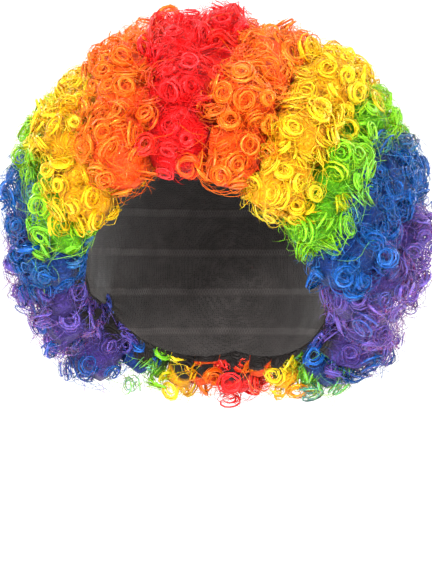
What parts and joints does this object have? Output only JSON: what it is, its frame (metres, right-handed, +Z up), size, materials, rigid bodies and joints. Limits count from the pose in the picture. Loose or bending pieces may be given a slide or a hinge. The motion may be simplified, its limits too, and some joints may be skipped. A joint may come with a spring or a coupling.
{
  "type": "rainbow afro wig",
  "caption": "Round afro wig of tight synthetic curls in rainbow bands from the hairline over the crown to the nape, on a soft net cap open at the face and neck.",
  "frame": {"origin": "inside of the cap at the crown, where the wig sits on the head", "axes": "+Z up, -Y the front (face side), +X the wearer's left"},
  "size_m": [0.2691, 0.2626, 0.2453],
  "materials": {
    "cap_net": "dark stretch net",
    "red_hair": "glossy curled synthetic fibre",
    "orange_hair": "glossy curled synthetic fibre",
    "yellow_hair": "glossy curled synthetic fibre",
    "green_hair": "glossy curled synthetic fibre",
    "blue_hair": "glossy curled synthetic fibre",
    "purple_hair": "glossy curled synthetic fibre"
  },
  "bodies": {
    "root": {"cap": "cap_net", "red_curls": "red_hair", "orange_curls_left": "orange_hair", "orange_curls_right": "orange_hair", "yellow_curls_left": "yellow_hair", "yellow_curls_right": "yellow_hair", "green_curls_left": "green_hair", "green_curls_right": "green_hair", "blue_curls_left": "blue_hair", "blue_curls_right": "blue_hair", "purple_curls_left": "purple_hair", "purple_curls_right": "purple_hair"}
  },
  "joints": []
}
